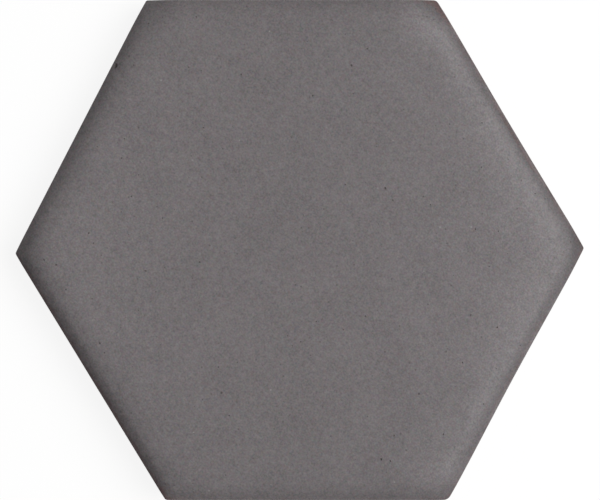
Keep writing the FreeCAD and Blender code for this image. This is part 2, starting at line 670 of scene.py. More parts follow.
@dataclass(frozen=True)
class Relief:
    """One layer of unevenness on a part of the skin. It only ever takes clay away.

    size is how wide its humps are, depth how deep it reaches, and layers how many finer layers ride on it.
    """

    zone: Zone
    size: float
    depth: float
    layers: int

    def press(self, tile: Piece) -> None:
        """Presses the layer into the tile.

        Args:
            tile: The tile, with a vertex group for each zone.
        """
        clouds = bpy.data.textures.new(f"uneven_{self.zone.value}", "CLOUDS")
        clouds.noise_scale = self.size * MM
        clouds.noise_depth = self.layers
        clouds.noise_basis = "BLENDER_ORIGINAL"
        press = tile.modifiers.new("uneven", "DISPLACE")
        press.texture = clouds
        press.texture_coords = "LOCAL"
        press.mid_level = 1.0
        press.strength = self.depth * MM
        press.vertex_group = self.zone.value
        take(tile)
        bpy.ops.object.modifier_apply(modifier=press.name)


@dataclass(frozen=True)
class Pinhole:
    """One pinhole, where a bubble burst in the coat: its place in plan and how wide it opens."""

    at: tuple[float, float]
    width: float


@dataclass
class Pinholes:
    """The pinholes in the face: the plain ones of the photographed tile, and a scatter of small ones.

    longer, narrower and unevenness say how far each strays from round, as shares of its width, and above is
    how high over the back the face is felt for from.
    """

    plain: tuple[Pinhole, ...] = (
        Pinhole(at=(24.2, -62.5), width=0.84),
        Pinhole(at=(25.5, 18.4), width=0.66),
        Pinhole(at=(15.4, 55.1), width=0.70),
        Pinhole(at=(-23.4, -42.6), width=0.74),
        Pinhole(at=(-59.8, -27.8), width=0.62),
        Pinhole(at=(-17.5, 52.4), width=0.58),
        Pinhole(at=(58.9, -23.1), width=0.58),
        Pinhole(at=(52.4, 6.2), width=0.54),
        Pinhole(at=(-72.8, -4.4), width=0.60),
        Pinhole(at=(-69.9, -11.8), width=0.52),
        Pinhole(at=(27.0, -63.0), width=0.58),
        Pinhole(at=(28.1, -55.4), width=0.54),
        Pinhole(at=(-50.3, 16.0), width=0.50),
        Pinhole(at=(35.5, -42.9), width=0.62),
        Pinhole(at=(-55.1, 55.1), width=1.50),
    )
    small: int = 170
    small_widths: tuple[float, float] = (0.28, 0.54)
    margin: float = 1.5
    depth_share: float = 0.37
    longer: tuple[float, float] = (0.95, 1.2)
    narrower: tuple[float, float] = (0.8, 1.0)
    unevenness: float = 0.05
    above: float = 100.0
    seed: int = 17

    def all_of_them(self, outline: Outline) -> list[Pinhole]:
        """Lists the plain pinholes and then the scattered ones.

        Args:
            outline: The tile's outline, which the scattered ones stay inside.

        Returns:
            The pinholes.
        """
        chance = Random(self.seed)
        least, most = self.small_widths
        found = list(self.plain)
        while len(found) < len(self.plain) + self.small:
            across = chance.uniform(-1, 1) * outline.reach
            up = chance.uniform(-1, 1) * outline.across_flats / 2
            width = least + (most - least) * chance.random() ** 2
            clear = all(math.dist(other.at, (across, up)) > 2 * self.margin for other in found)
            if clear and min(outline.depths(Vector((across, up, 0)))) > self.margin:
                found.append(Pinhole(at=(across, up), width=width))
        return found

    def cutter(self, tile: Piece, outline: Outline) -> Piece:
        """Makes one small uneven ball for each pinhole, sunk into the face to its depth.

        Args:
            tile: The tile, whose face is felt for from above.
            outline: The tile's outline.

        Returns:
            The balls as one object.
        """
        chance = Random(self.seed + 1)
        balls = []
        for hole in self.all_of_them(outline):
            _, place, _, _ = tile.ray_cast(Vector((*hole.at, self.above)) * MM, Vector((0, 0, -1)))
            put_down()
            bpy.ops.mesh.primitive_ico_sphere_add(subdivisions=2, radius=hole.width / 2 * MM, location=place)
            ball = bpy.context.object
            with on_the_bench(ball):
                bpy.ops.mesh.select_all(action="SELECT")
                squash = (chance.uniform(*self.longer), chance.uniform(*self.narrower), 2 * self.depth_share)
                bpy.ops.transform.resize(value=squash)
                turn = chance.uniform(0, math.pi)
                bpy.ops.transform.rotate(value=turn, orient_axis="Z", center_override=place)
                bpy.ops.transform.vertex_random(
                    offset=hole.width * self.unevenness * MM,
                    uniform=0.0,
                    normal=0.0,
                    seed=chance.randrange(1000),
                )
            balls.append(ball)
        put_down()
        for ball in balls:
            ball.select_set(True)
        bpy.context.view_layer.objects.active = balls[0]
        bpy.ops.object.join()
        bpy.ops.object.transform_apply(location=True, rotation=True, scale=True)
        return balls[0]

    def burst(self, tile: Piece, outline: Outline) -> None:
        """Cuts the pinholes into the face and gives their walls the finish of a pit.

        Args:
            tile: The tile, with its material slots filled.
            outline: The tile's outline.
        """
        balls = self.cutter(tile, outline)
        for slot in tile.material_slots:
            balls.data.materials.append(slot.material)
        for face in balls.data.polygons:
            face.material_index = Finish.PIT
        cut = tile.modifiers.new("pinholes", "BOOLEAN")
        cut.operation = "DIFFERENCE"
        cut.solver = "MANIFOLD"
        cut.object = balls
        take(tile)
        bpy.ops.object.modifier_apply(modifier=cut.name)
        bpy.data.objects.remove(balls)


@dataclass
class HexagonTile:
    """The whole tile: rings laid from the back up to the face, joined into one closed skin.

    Each pair of distances is where a zone or a change of shape fades in and where it is full. past_eased and
    below_eased are the shares of the edge's easing past which a place is on the face, or below the edge.
    sides_within and edge_within are how far in from the edge a place can still lie on the sides, and
    back_margin is how far over the groove floors the back still reaches.
    """

    name: str = "hexagon_tile_fired"
    outline: Outline = field(default_factory=Outline)
    shoulder: Shoulder = field(default_factory=Shoulder)
    flank: Flank = field(default_factory=Flank)
    grooves: Grooves = field(default_factory=Grooves)
    pinholes: Pinholes = field(default_factory=Pinholes)
    face_margin: float = 3.4
    margin_steps: int = 3
    bridge_gap: float = 3.0
    drawn_in: tuple[float, float] = (3.0, 0.0)
    face_zone: tuple[float, float] = (-0.2, 0.8)
    sides_zone: tuple[float, float] = (0.0, 2.0)
    sides_rise: tuple[float, float] = (0.0, 1.0)
    sides_within: float = 2.0
    back_zone: tuple[float, float] = (1.6, 4.0)
    back_margin: float = 0.1
    edge_within: float = 1.5
    past_eased: float = 0.9
    below_eased: float = 0.8
    sharp_angle: float = 35.0
    reliefs: tuple[Relief, ...] = (
        Relief(zone=Zone.FACE, size=45.0, depth=0.16, layers=0),
        Relief(zone=Zone.FACE, size=9.0, depth=0.05, layers=1),
        Relief(zone=Zone.FACE, size=2.6, depth=0.022, layers=1),
        Relief(zone=Zone.SIDES, size=7.0, depth=0.28, layers=2),
        Relief(zone=Zone.SIDES, size=1.6, depth=0.09, layers=1),
        Relief(zone=Zone.BACK, size=24.0, depth=0.20, layers=0),
        Relief(zone=Zone.BACK, size=4.0, depth=0.06, layers=1),
    )

    def build(self) -> Piece:
        """Makes the tile's mesh.

        Returns:
            The finished tile, in place.
        """
        rings = self.rings()
        self.grooves.cut(rings[0], self.outline)
        self.grooves.ease(rings[0], self.outline)
        tile = self.join(rings + [self.face_sheet()])
        tile.name = self.name
        tile.data.name = self.name
        self.sink_corners(tile)
        self.outline.draw_in(tile)
        self.mark_zones(tile)
        for relief in self.reliefs:
            relief.press(tile)
        tile.vertex_groups.clear()
        for material in Palette().materials():
            tile.data.materials.append(material)
        self.bare_back(tile)
        self.pinholes.burst(tile, self.outline)
        self.centre(tile)
        self.note_wear(tile)
        take(tile)
        bpy.ops.object.shade_smooth_by_angle(angle=math.radians(self.sharp_angle))
        return tile

    def rings(self) -> list[Piece]:
        """Lays every loop of the tile from the back's edge to the inner end of the shoulder.

        Returns:
            The loops, lowest first.
        """
        lay = self.outline.lay_ring
        laid = [lay(inset, height, self.radii(0)) for inset, height in self.flank.rows(self.shoulder)]
        for inset in self.shoulder.insets():
            if inset > self.flank.eased:
                radii = self.radii(inset / self.shoulder.ringed)
                laid.append(lay(inset, self.shoulder.height_at(inset), radii))
        for number in range(1, self.margin_steps):
            share = number / self.margin_steps
            inset = self.shoulder.ringed + self.face_margin * share
            laid.append(lay(inset, self.shoulder.height_at(inset), self.radii(1 - share)))
        return laid

    def radii(self, growth: float) -> list[float]:
        """Gives the corner radii on their way from the outline's, at 0, to the face's, at 1."""
        radii = [corner.radius for corner in self.outline.corners]
        return [radius + (self.shoulder.face_radius - radius) * growth for radius in radii]

    def face_sheet(self) -> Piece:
        """Lays the level middle of the face as a fine even net of triangles.

        Returns:
            The sheet, which meets the last ring with as many points.
        """
        inset = self.shoulder.ringed + self.face_margin
        sheet = self.outline.lay_hexagon(inset, self.shoulder.height_at(inset), "TRIFAN")
        with on_the_bench(sheet):
            pick(sheet, Pick.LINES, lambda edge: True)
            bpy.ops.mesh.subdivide(number_cuts=self.outline.steps - 1)
        return sheet

    def join(self, parts: list[Piece]) -> Piece:
        """Bridges the loops one after another into a closed skin.

        Each part is held clear above the skin while it is bridged, and then let down to its own height,
        because two loops at nearly the same height can be bridged the wrong way round.

        Args:
            parts: The loops from the back up, and the sheet that closes the face.

        Returns:
            The tile's skin as one object.
        """
        clear = self.bridge_gap * MM
        skin = parts[0]
        for part in parts[1:]:
            with on_the_bench(part):
                bpy.ops.mesh.select_all(action="SELECT")
                bpy.ops.transform.translate(value=(0, 0, clear))
                if part is not parts[-1]:
                    bpy.ops.mesh.delete(type="ONLY_FACE")
            laid = len(skin.data.vertices)
            take(skin)
            part.select_set(True)
            bpy.ops.object.join()
            with on_the_bench(skin):
                pick(skin, Pick.LINES, lambda edge: len(edge.link_faces) < 2)
                bpy.ops.mesh.bridge_edge_loops(type="SINGLE")
                pick(skin, Pick.CORNERS, lambda vertex: vertex.index >= laid)
                bpy.ops.transform.translate(value=(0, 0, -clear))
        with on_the_bench(skin):
            bpy.ops.mesh.select_all(action="SELECT")
            bpy.ops.mesh.normals_make_consistent(inside=False)
        return skin

    def sink_corners(self, tile: Piece) -> None:
        """Lets the face down onto its pillow, whose broad corners sink the edge, and the sides with it."""
        foot_height = self.shoulder.foot_height
        lean = math.tan(math.radians(self.flank.draft))
        for vertex in tile.data.vertices:
            place = vertex.co / MM
            inward = max(self.outline.edge_distance(place), 0.0)
            sunk = self.shoulder.height_at(inward) - self.shoulder.height_at(self.outline.roll_depth(place))
            on_face = place.z > foot_height and inward > self.past_eased * self.flank.eased
            share = smooth_step(*self.drawn_in, inward) if on_face else place.z / foot_height
            drawn = sunk * share * lean / math.cos(self.outline.turn / 2)
            moved = place - Vector((place.x, place.y, 0)).normalized() * drawn
            if on_face:
                moved.z = self.shoulder.height_at(self.outline.roll_depth(moved))
            else:
                moved.z -= sunk * share
            vertex.co = moved * MM

    def mark_zones(self, tile: Piece) -> None:
        """Says how far each vertex belongs to the face, the sides and the back."""
        groups = {zone: tile.vertex_groups.new(name=zone.value) for zone in Zone}
        for vertex in tile.data.vertices:
            inward = self.edge_distance(vertex.co / MM)
            height = vertex.co.z / MM
            rim = self.outline.edge_distance(vertex.co / MM)
            low = height < self.grooves.depth + self.back_margin
            down = smooth_step(*self.sides_zone, -inward) * smooth_step(*self.sides_rise, height)
            weights = {
                Zone.FACE: smooth_step(*self.face_zone, inward),
                Zone.SIDES: down * (rim < self.sides_within),
                Zone.BACK: low * smooth_step(*self.back_zone, rim),
            }
            for zone, weight in weights.items():
                if weight > 0:
                    groups[zone].add([vertex.index], weight, "REPLACE")

    def edge_distance(self, place: Vector) -> float:
        """Measures how far a place lies from the tile's edge.

        Args:
            place: A place on the tile's skin, in millimetres.

        Returns:
            The distance in from the edge on the face, and less than nothing below the edge.
        """
        inward = self.outline.edge_distance(place)
        drop = place.z - self.shoulder.height_at(self.outline.roll_depth(place))
        on_side = inward < self.edge_within and drop < -self.below_eased * self.flank.eased
        return drop if on_side or place.z < self.shoulder.foot_height / 2 else inward

    def bare_back(self, tile: Piece) -> None:
        """Gives the faces of the back and its grooves the finish of bare clay."""
        lowest = self.flank.back_radius / 4
        for face in tile.data.polygons:
            middle = face.center / MM
            low = middle.z < self.shoulder.foot_height / 2
            inside = low and self.outline.edge_distance(middle) > self.grooves.rim / 2
            face.material_index = Finish.BARE if inside or middle.z < lowest else Finish.COATED

    def note_wear(self, tile: Piece) -> None:
        """Writes each vertex's distance from the edge and its marks, painted light and shade among them, into
        the tile's mesh.
        """
        wear = WearAndPaintedLight(self.outline)
        for mark in Mark:
            tile.data.attributes.new(mark.value, "FLOAT", "POINT")
        noted = [tile.data.attributes[mark.value].data for mark in Mark]
        for vertex, distance, stained, scorched, rubbed, paler in zip(tile.data.vertices, *noted):
            place = vertex.co / MM
            distance.value = self.edge_distance(place)
            stained.value, scorched.value, rubbed.value = wear.of_edge(place)
            paler.value = wear.paler(place)

    @staticmethod
    def centre(tile: Piece) -> None:
        """Moves the tile along its long diagonal so that it lies in the middle of the frame's box."""
        places = [vertex.co.x for vertex in tile.data.vertices]
        low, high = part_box("hexagon_tile")
        shift = (low[0] + high[0]) / 2 - (min(places) + max(places)) / 2
        with on_the_bench(tile):
            pick(tile, Pick.CORNERS, lambda vertex: True)
            bpy.ops.transform.translate(value=(shift, 0, 0))


class Sheet:
    """Writes nodes into a node tree."""

    askew = (0.62, 0.48, 0.85)

    def __init__(self, tree: bpy.types.NodeTree) -> None:
        """Takes the tree to write into."""
        self.tree = tree

    def node(self, kind: str, **settings: object) -> bpy.types.Node:
        """Adds a node and sets its properties."""
        made = self.tree.nodes.new(kind)
        for key, value in settings.items():
            setattr(made, key, value)
        return made

    def feed(self, target: Socket, value: object) -> None:
        """Gives an input its value: a link where the value is a node's output, and a number otherwise."""
        if isinstance(value, Socket):
            self.tree.links.new(value, target)
        else:
            target.default_value = value

    def maths(self, operation: str, *values: object, clamp: bool = False) -> Socket:
        """Adds a math node with its values and gives its output."""
        made = self.node("ShaderNodeMath", operation=operation, use_clamp=clamp)
        for target, value in zip(made.inputs, values):
            self.feed(target, value)
        return made.outputs[0]

    def vector_maths(self, operation: str, *values: object) -> Socket:
        """Adds a vector math node with its values and gives its output."""
        made = self.node("ShaderNodeVectorMath", operation=operation)
        for target, value in zip(made.inputs, values):
            self.feed(target, value)
        return made.outputs[0]

    def spread(self, value: object, *ends: object) -> Socket:
        """Maps a value smoothly from one range to another, given as four ends, and holds it at both."""
        made = self.node("ShaderNodeMapRange", interpolation_type="SMOOTHSTEP")
        for target, given in zip(made.inputs, (value, *ends)):
            self.feed(target, given)
        return made.outputs["Result"]

    def turned(self, place: object) -> Socket:
        """Turns a place askew, so that a flat face doesn't lie along the rows of a noise texture."""
        made = self.node("ShaderNodeMapping")
        self.feed(made.inputs["Vector"], place)
        made.inputs["Rotation"].default_value = self.askew
        return made.outputs["Vector"]

    def noise(self, place: object, scale: object, detail: float = 0.0) -> bpy.types.Node:
        """Adds a noise texture at a place, with its scale in humps for each metre."""
        made = self.node("ShaderNodeTexNoise", noise_dimensions="3D")
        self.feed(made.inputs["Vector"], place)
        self.feed(made.inputs["Scale"], scale)
        made.inputs["Detail"].default_value = detail
        return made

    def blend(self, share: object, first: object, second: object, how: str = "MIX") -> Socket:
        """Mixes two colours and gives the result."""
        made = self.node("ShaderNodeMix", data_type="RGBA", blend_type=how)
        colours = [socket for socket in made.inputs if socket.type == "RGBA"]
        self.feed(made.inputs["Factor"], share)
        for target, value in zip(colours, (first, second)):
            self.feed(target, (*value, 1) if isinstance(value, tuple) and len(value) == 3 else value)
        return next(socket for socket in made.outputs if socket.type == "RGBA")

    def between(self, share: object, first: object, second: object) -> Socket:
        """Mixes two numbers and gives the result."""
        made = self.node("ShaderNodeMix", data_type="FLOAT")
        for number, value in ((0, share), (2, first), (3, second)):
            self.feed(made.inputs[number], value)
        return made.outputs[0]

    def read(self, mark: Mark) -> Socket:
        """Reads a number that the tile's mesh carries."""
        made = self.node("ShaderNodeAttribute", attribute_type="GEOMETRY", attribute_name=mark.value)
        return made.outputs["Fac"]


class Effect:
    """A shader node group that several finishes share, with named inputs and outputs."""

    def __init__(self, name: str, inputs: dict[str, str], outputs: dict[str, str]) -> None:
        """Opens the group.

        Args:
            name: The group's name.
            inputs: The kind of each input, by name. Each use of the group gives all of them.
            outputs: The kind of each output, by name.
        """
        self.tree = bpy.data.node_groups.new(name, "ShaderNodeTree")
        self.sheet = Sheet(self.tree)
        for way, sockets in (("INPUT", inputs), ("OUTPUT", outputs)):
            for label, kind in sockets.items():
                self.tree.interface.new_socket(label, in_out=way, socket_type=kind)
        self.given = self.sheet.node("NodeGroupInput").outputs
        self.result = self.sheet.node("NodeGroupOutput").inputs

    def place(self, sheet: Sheet, **values: object) -> bpy.types.NodeOutputs:
        """Puts the group into a material with its own values.

        Args:
            sheet: The material's sheet.
            values: What each input gets, by its name in small letters.

        Returns:
            The group's outputs.
        """
        made = sheet.node("ShaderNodeGroup", node_tree=self.tree)
        for label, value in values.items():
            sheet.feed(made.inputs[label.capitalize()], value)
        return made.outputs


FLOAT = "NodeSocketFloat"
COLOUR = "NodeSocketColor"
VECTOR = "NodeSocketVector"


@dataclass(frozen=True)
class Mottle:
    """One use of the grain: its spots for each metre, how strong each size of them is, and their tint."""

    spots: float
    fine: float
    middle: float
    broad: float
    tint: Colour


class Grain(Effect):
    """Mottle in three sizes, with a faint tint of its own in each spot.

    Each layer has a share of the spots for each metre, and finer spots that ride on its own.
    """

    layers = {"Fine": (1.0, 1.0), "Middle": (0.3, 1.0), "Broad": (0.045, 2.0)}
    hue_share = 0.85

    def __init__(self) -> None:
        """Builds the group."""
        numbers = dict.fromkeys(("Spots", *self.layers), FLOAT)
        inputs = {"Place": VECTOR, **numbers, "Tint": VECTOR}
        super().__init__("clay_grain", inputs, {"Shade": COLOUR, "Height": FLOAT})
        sheet, given = self.sheet, self.given
        place = sheet.turned(given["Place"])
        whole = 1.0
        for strength, (share, finer) in self.layers.items():
            layer = sheet.noise(place, sheet.maths("MULTIPLY", given["Spots"], share), finer)
            swing = sheet.maths("SUBTRACT", layer.outputs[0], 0.5)
            whole = sheet.maths("MULTIPLY_ADD", swing, given[strength], whole)
        hue = sheet.noise(place, sheet.maths("MULTIPLY", given["Spots"], self.hue_share)).outputs["Color"]
        swing = sheet.vector_maths("SUBTRACT", hue, (0.5, 0.5, 0.5))
        tinted = sheet.vector_maths("MULTIPLY_ADD", swing, given["Tint"], whole)
        sheet.feed(self.result["Shade"], tinted)
        sheet.feed(self.result["Height"], whole)


@dataclass(frozen=True)
class Scatter:
    """One use of the specks: the metres between places and across a speck, and the share that holds one."""

    spacing: float
    size: float
    share: float


class Specks(Effect):
    """Small scattered spots, of which only a share of the places holds one."""

    full_share = 0.35

    def __init__(self) -> None:
        """Builds the group."""
        numbers = dict.fromkeys(("Spacing", "Size", "Share"), FLOAT)
        super().__init__("grog_specks", {"Place": VECTOR, **numbers}, {"Mask": FLOAT})
        sheet, given = self.sheet, self.given
        cells = sheet.node("ShaderNodeTexVoronoi", voronoi_dimensions="3D", feature="F1")
        sheet.feed(cells.inputs["Vector"], given["Place"])
        sheet.feed(cells.inputs["Scale"], sheet.maths("DIVIDE", 1.0, given["Spacing"]))
        reach = sheet.maths("DIVIDE", given["Size"], given["Spacing"])
        full = sheet.maths("MULTIPLY", reach, self.full_share)
        spot = sheet.spread(cells.outputs["Distance"], full, reach, 1.0, 0.0)
        lot = sheet.node("ShaderNodeSeparateColor")
        sheet.feed(lot.inputs[0], cells.outputs["Color"])
        held = sheet.maths("LESS_THAN", lot.outputs[0], given["Share"])
        sheet.feed(self.result["Mask"], sheet.maths("MULTIPLY", spot, held))


@dataclass(frozen=True)
class Border:
    """One use of the ragged line.

    It runs from start to end, in millimetres in from the tile's edge, strays by ragged and has so many humps
    for each metre.
    """

    start: float
    end: float
    ragged: float
    humps: float = 260.0


class RaggedLine(Effect):
    """A mask that rises from 0 to 1 across a line along the tile's edge, with a ragged course."""

    finer = 3.0

    def __init__(self) -> None:
        """Builds the group."""
        numbers = dict.fromkeys(("Distance", "Start", "End", "Ragged", "Humps"), FLOAT)
        super().__init__("ragged_line", {"Place": VECTOR, **numbers}, {"Mask": FLOAT})
        sheet, given = self.sheet, self.given
        wander = sheet.noise(sheet.turned(given["Place"]), given["Humps"], self.finer)
        swing = sheet.maths("SUBTRACT", wander.outputs[0], 0.5)
        moved = sheet.maths("MULTIPLY_ADD", swing, given["Ragged"], given["Distance"])
        sheet.feed(self.result["Mask"], sheet.spread(moved, given["Start"], given["End"], 0.0, 1.0))


@dataclass(frozen=True)
class Roughness:
    """How rough a finish is at a low and at a high height of its grain."""

    at_low: float
    at_high: float
    low: float = 0.6
    high: float = 1.4


@dataclass(frozen=True)
class Clay:
    """The reddish-brown body of the tile, with pale grog, dark iron spots and pale dust in the grooves.

    Colours are linear, and relief is how far the grain rises, in metres.
    """

    colour: Colour = (0.235, 0.125, 0.088)
    pale: Colour = (0.42, 0.30, 0.24)
    dark: Colour = (0.06, 0.040, 0.034)
    grain: Mottle = Mottle(spots=1100.0, fine=0.5, middle=0.45, broad=0.5, tint=(0.12, 0.12, 0.12))
    grog: Scatter = Scatter(spacing=0.0024, size=0.00055, share=0.3)
    grog_rise: float = 0.6
    iron: Scatter = Scatter(spacing=0.0041, size=0.0006, share=0.22)
    iron_drop: float = 0.8
    dust: Border = Border(start=0.5, end=1.3, ragged=1.6)
    dust_strength: float = 0.45
    roughness: Roughness = Roughness(at_low=0.92, at_high=0.78)
    specular: float = 0.25
    relief: float = 0.00007


@dataclass(frozen=True)
class Coat:
    """The thin matt grey coat on the face. Colours are linear, and the darker edge tone and brown are shares
    of its colour.

    It is darkened in a band along the edge, partly in the kiln and partly as painted shade, and by painted
    shade in a line on the edge, and rubbed brown where it is worn. worn_reach is how far the worn strip
    reaches where little is rubbed off, and how much further with more. covered is where the coat runs out down
    the sides, and below it the clay has a roughness and a share of relief of its own.
    """

    colour: Colour = (0.161, 0.147, 0.151)
    burnt: Colour = (0.47, 0.44, 0.445)
    brown: Colour = (1.04, 0.76, 0.72)
    light_speck: Colour = (0.27, 0.255, 0.255)
    dark_speck: Colour = (0.085, 0.075, 0.075)
    grain: Mottle = Mottle(spots=1800.0, fine=0.80, middle=0.33, broad=0.23, tint=(0.28, 0.20, 0.18))
    light: Scatter = Scatter(spacing=0.0046, size=0.0004, share=0.16)
    light_strength: float = 0.8
    dark: Scatter = Scatter(spacing=0.0027, size=0.00036, share=0.22)
    dark_strength: float = 0.85
    band: Border = Border(start=0.8, end=4.6, ragged=4.2, humps=420.0)
    band_strength: float = 0.373
    line: Border = Border(start=0.4, end=1.4, ragged=1.8, humps=520.0)
    worn: Border = Border(start=0.1, end=1.5, ragged=2.2)
    worn_strength: float = 0.8
    worn_reach: tuple[float, float] = (0.65, 0.6)
    covered: Border = Border(start=-4.2, end=-0.8, ragged=6.0)
    roughness: Roughness = Roughness(at_low=0.38, at_high=0.29, low=0.8, high=1.2)
    specular: float = 0.18
    relief: float = 0.00003
    clay_roughness: float = 0.85
    clay_relief: float = 2.2


@dataclass(frozen=True)
class PitWallPaintedShade:
    """The rough wall of a pinhole, darkened as painted shade in its hollow."""

    # Darker than the coat: painted shade in the pinhole's hollow.
    colour: Colour = (0.112, 0.099, 0.099)
    grain: Mottle = Mottle(spots=3200.0, fine=0.7, middle=0.4, broad=0.2, tint=(0.1, 0.1, 0.1))
    roughness: Roughness = Roughness(at_low=0.8, at_high=0.6)


class Palette:
    """The tile's three finishes and the effects that they share."""

    def __init__(self) -> None:
        """Builds the shared effects."""
        self.clay = Clay()
        self.coat = Coat()
        self.pit_wall = PitWallPaintedShade()
        self.grain = Grain()
        self.specks = Specks()
        self.line = RaggedLine()

    def materials(self) -> list[bpy.types.Material]:
        """Makes the finishes, in the order of their slots."""
        return [self.coated(), self.bare(), self.pit()]

    @staticmethod
    def open(name: str) -> tuple[bpy.types.Material, Sheet, bpy.types.Node, Socket]:
        """Starts a material.

        Args:
            name: The material's name.

        Returns:
            The material, its sheet, its shader and the place on the tile in metres.
        """
        made = bpy.data.materials.new(name)
        made.use_nodes = True
        sheet = Sheet(made.node_tree)
        place = sheet.node("ShaderNodeTexCoord").outputs["Object"]
        return made, sheet, made.node_tree.nodes["Principled BSDF"], place

    @staticmethod
    def dress(sheet: Sheet, shader: bpy.types.Node, body: Clay | Coat, *skin: Socket) -> None:
        """Gives a surface its looks.

        Args:
            sheet: The material's sheet.
            shader: The material's shader.
            body: What the surface is made of, whose gloss and depth of relief it takes.
            skin: Its colour, its roughness and the height of its grain, which varies about its middle.
        """
        colour, rough, height = skin
        sheet.feed(shader.inputs["Base Color"], colour)
        sheet.feed(shader.inputs["Roughness"], rough)
        shader.inputs["Specular IOR Level"].default_value = body.specular
        bump = sheet.node("ShaderNodeBump")
        bump.inputs["Strength"].default_value = 1.0
        bump.inputs["Distance"].default_value = body.relief
        sheet.feed(bump.inputs["Height"], height)
        sheet.feed(shader.inputs["Normal"], bump.outputs["Normal"])

    @staticmethod
    def rough(sheet: Sheet, height: object, roughness: Roughness) -> Socket:
        """Gives the roughness that goes with the height of a finish's grain."""
        ends = (roughness.low, roughness.high, roughness.at_low, roughness.at_high)
        return sheet.spread(height, *ends)

    def outside(self, sheet: Sheet, place: object, distance: object, border: Border) -> Socket:
        """Masks what lies between a ragged border and the tile's edge."""
        mask = self.line.place(sheet, place=place, distance=distance, **asdict(border))["Mask"]
        return sheet.maths("SUBTRACT", 1.0, mask)

    def clay_colour(self, sheet: Sheet, place: object) -> tuple[Socket, Socket]:
        """Paints bare clay with its grain and its grog.

        Args:
            sheet: The material's sheet.
            place: The place on the tile.

        Returns:
            The colour and the height.
        """
        clay = self.clay
        grain = self.grain.place(sheet, place=place, **asdict(clay.grain))
        colour = sheet.blend(1.0, clay.colour, grain["Shade"], "MULTIPLY")
        grog = self.specks.place(sheet, place=place, **asdict(clay.grog))["Mask"]
        colour = sheet.blend(grog, colour, clay.pale)
        iron = self.specks.place(sheet, place=place, **asdict(clay.iron))["Mask"]
        colour = sheet.blend(iron, colour, clay.dark)
        height = sheet.maths("MULTIPLY_ADD", grog, clay.grog_rise, grain["Height"])
        return colour, sheet.maths("SUBTRACT", height, sheet.maths("MULTIPLY", iron, clay.iron_drop))

    def coat_colour(self, sheet: Sheet, place: object) -> tuple[Socket, Socket]:
        """Paints the coat with its grain and specks, lighter or darker where light and shade are painted on
        it.

        Args:
            sheet: The material's sheet.
            place: The place on the tile.

        Returns:
            The colour and the height.
        """
        coat = self.coat
        grain = self.grain.place(sheet, place=place, **asdict(coat.grain))
        colour = sheet.blend(1.0, coat.colour, grain["Shade"], "MULTIPLY")
        for scatter, strength, speck in (
            (coat.light, coat.light_strength, coat.light_speck),
            (coat.dark, coat.dark_strength, coat.dark_speck),
        ):
            mask = self.specks.place(sheet, place=place, **asdict(scatter))["Mask"]
            colour = sheet.blend(sheet.maths("MULTIPLY", mask, strength), colour, speck)
        # Scales the coat's colour by the painted light and shade that the mesh carries.
        fired = sheet.node("ShaderNodeVectorMath", operation="SCALE")
        sheet.feed(fired.inputs[0], colour)
        sheet.feed(fired.inputs["Scale"], sheet.maths("ADD", sheet.read(Mark.PAINTED_LIGHT), 1.0))
        return fired.outputs[0], grain["Height"]

    def stain_edge(self, sheet: Sheet, place: object, distance: object, colour: Socket) -> Socket:
        """Darkens the coat along the edge, partly as the kiln left it and partly as painted shade, puts
        painted shade on the edge itself, and rubs it through to brown there.

        Args:
            sheet: The material's sheet.
            place: The place on the tile.
            distance: How far in from the edge it lies, in millimetres.
            colour: The coat's colour.

        Returns:
            The stained colour.
        """
        coat = self.coat
        # The band along the edge is partly the coat darkened in the kiln and partly painted shade.
        band = self.outside(sheet, place, distance, coat.band)
        band = sheet.maths("MULTIPLY", band, sheet.read(Mark.STAINED_AND_SHADED))
        # The line on the edge is painted shade, strongest on the side turned away from the lamp.
        line = self.outside(sheet, place, distance, coat.line)
        line = sheet.maths("MULTIPLY", line, sheet.read(Mark.PAINTED_EDGE_SHADE))
        burnt = sheet.blend(1.0, colour, coat.burnt, "MULTIPLY")
        stain = sheet.maths("MULTIPLY_ADD", band, coat.band_strength, line, clamp=True)
        colour = sheet.blend(stain, colour, burnt)
        rubbed = sheet.read(Mark.RUBBED)
        least, more = coat.worn_reach
        nearer = sheet.maths("DIVIDE", distance, sheet.maths("MULTIPLY_ADD", rubbed, more, least))
        worn = self.outside(sheet, place, nearer, coat.worn)
        worn = sheet.maths("MULTIPLY", worn, rubbed, clamp=True)
        brown = sheet.blend(1.0, colour, coat.brown, "MULTIPLY")
        return sheet.blend(sheet.maths("MULTIPLY", worn, coat.worn_strength), colour, brown)

    def coated(self) -> bpy.types.Material:
        """Makes the coated face, whose coat thins out over the edge and runs out down the sides."""
        made, sheet, shader, place = self.open("matt_grey_coat")
        distance = sheet.read(Mark.EDGE_DISTANCE)
        colour, height = self.coat_colour(sheet, place)
        colour = self.stain_edge(sheet, place, distance, colour)
        clay, clay_height = self.clay_colour(sheet, place)
        border = asdict(self.coat.covered)
        covered = self.line.place(sheet, place=place, distance=distance, **border)["Mask"]
        rough = self.rough(sheet, height, self.coat.roughness)
        rough = sheet.between(covered, self.coat.clay_roughness, rough)
        clay_height = sheet.maths("MULTIPLY", clay_height, self.coat.clay_relief)
        height = sheet.between(covered, clay_height, height)
        self.dress(sheet, shader, self.coat, sheet.blend(covered, clay, colour), rough, height)
        return made

